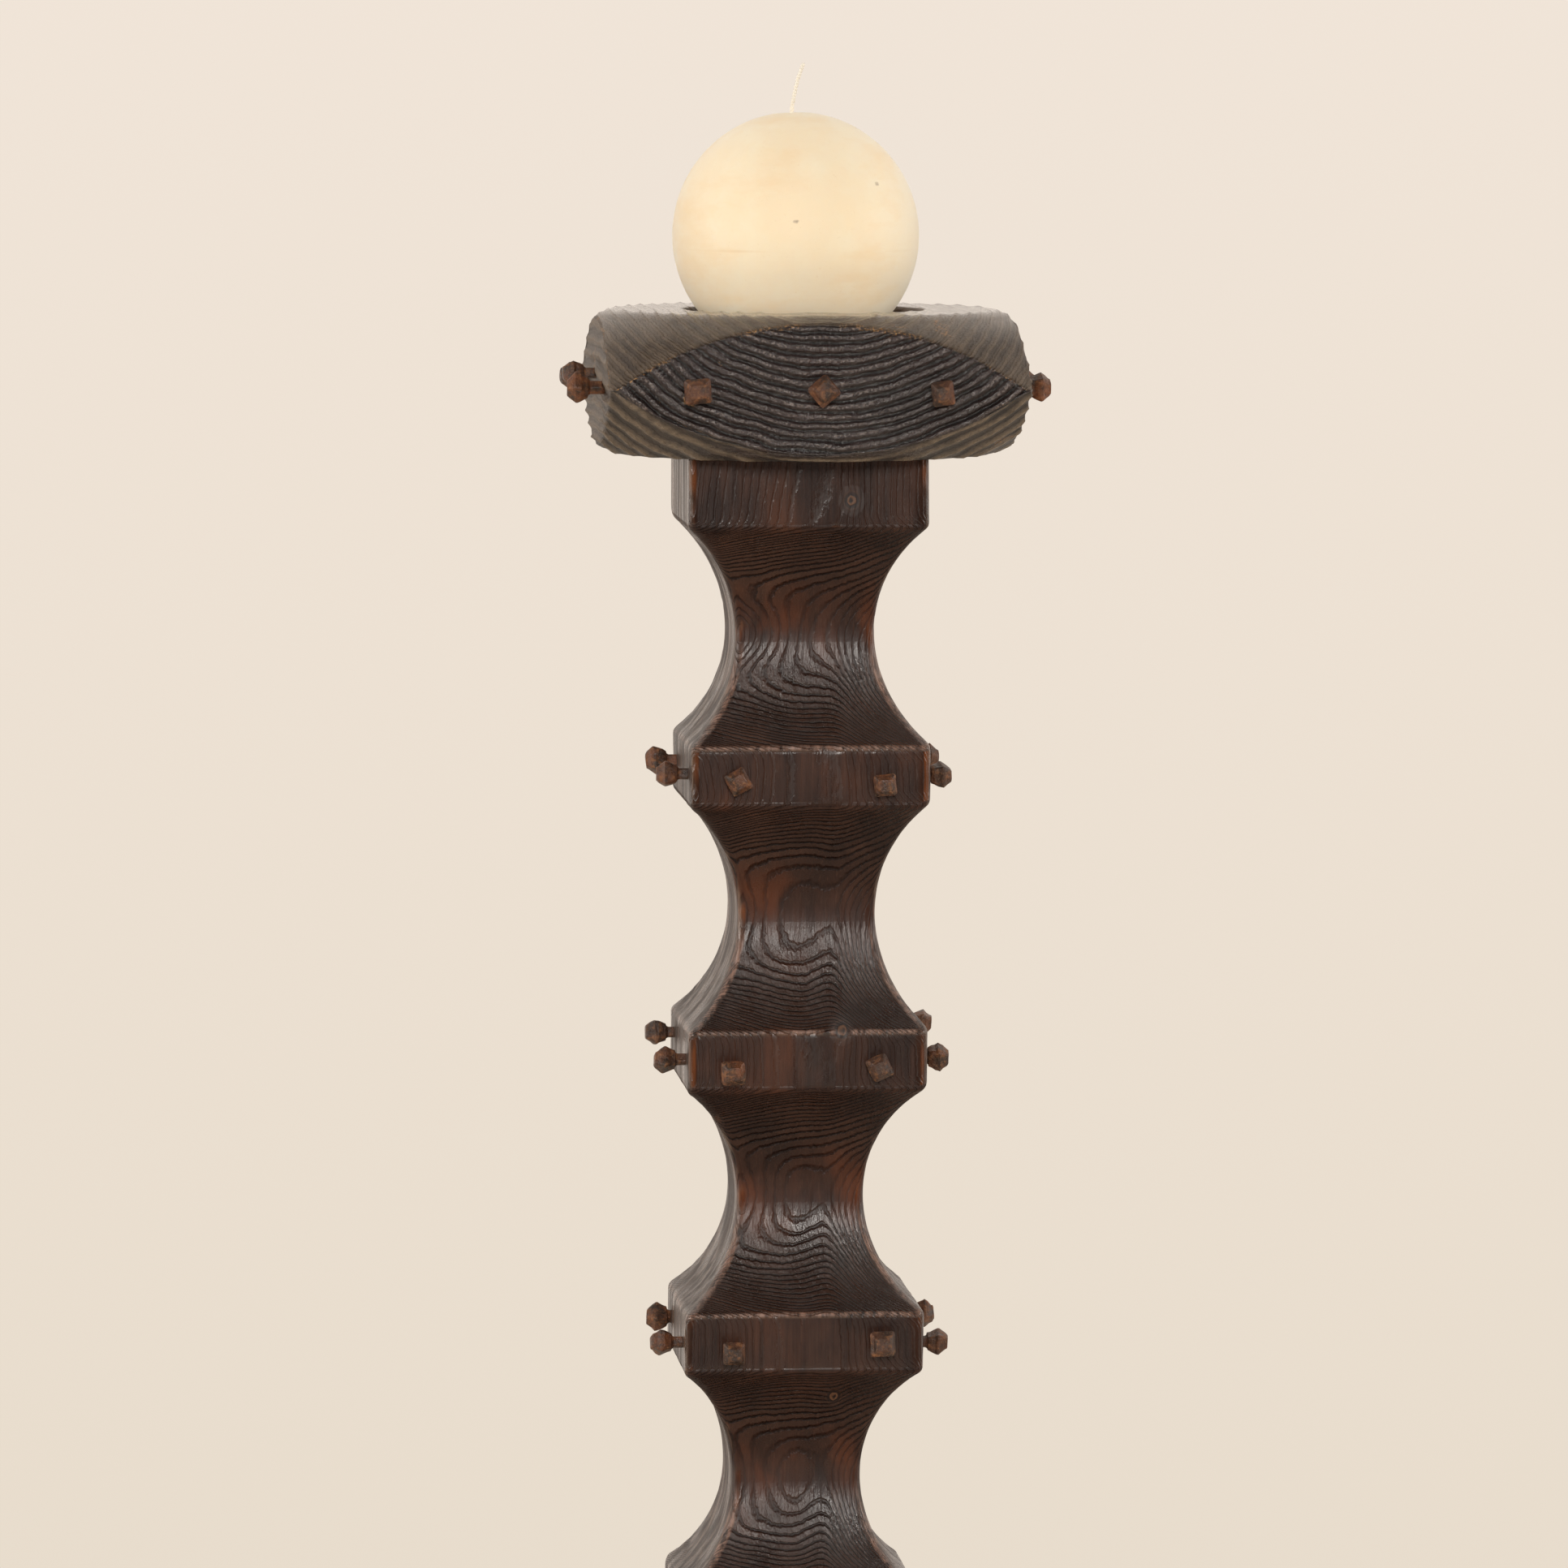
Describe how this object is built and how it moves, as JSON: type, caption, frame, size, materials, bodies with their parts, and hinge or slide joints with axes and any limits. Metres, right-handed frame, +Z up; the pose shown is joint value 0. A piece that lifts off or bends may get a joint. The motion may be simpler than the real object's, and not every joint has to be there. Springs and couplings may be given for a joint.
{
  "type": "wooden candlestick",
  "caption": "Tall rustic timber candlestick: a square post scalloped into studded bands between lens-faced turned blocks, with a ball candle in the top recess.",
  "frame": {"origin": "centre of the base block's underside", "axes": "+Z up the post to the candle, front face towards -Y"},
  "size_m": [0.2628, 0.2628, 1.1774],
  "materials": {
    "wax": "satin wax",
    "wick": "plain cotton",
    "charred_wood": "brushed, stained near-black and waxed",
    "brown_wood": "brushed, stained dark red-brown and waxed",
    "dowel_wood": "plain beech",
    "forged_iron": "hand forged, rusty",
    "zinc_steel": "dull zinc"
  },
  "bodies": {
    "candlestick": {"head_block": "charred_wood", "head_screw": "zinc_steel", "head_washer": "zinc_steel", "head_dowels": "dowel_wood", "post": "brown_wood", "base_block": "charred_wood", "base_screws": "zinc_steel", "base_washers": "zinc_steel", "head_studs_front": "forged_iron", "head_studs_right": "forged_iron", "head_studs_back": "forged_iron", "head_studs_left": "forged_iron", "band_1_studs": "forged_iron", "band_2_studs": "forged_iron", "band_3_studs": "forged_iron", "band_4_studs": "forged_iron", "band_5_studs": "forged_iron", "band_6_studs": "forged_iron", "band_7_studs": "forged_iron", "base_studs_front": "forged_iron", "base_studs_right": "forged_iron", "base_studs_back": "forged_iron", "base_studs_left": "forged_iron"},
    "candle": {"candle_wax": "wax", "candle_wick": "wick"}
  },
  "joints": [
    {"name": "candle_lift", "type": "slide", "parent": "candlestick", "child": "candle", "axis": [0, 0, 1], "range_m": [0, 0.06]}
  ]
}
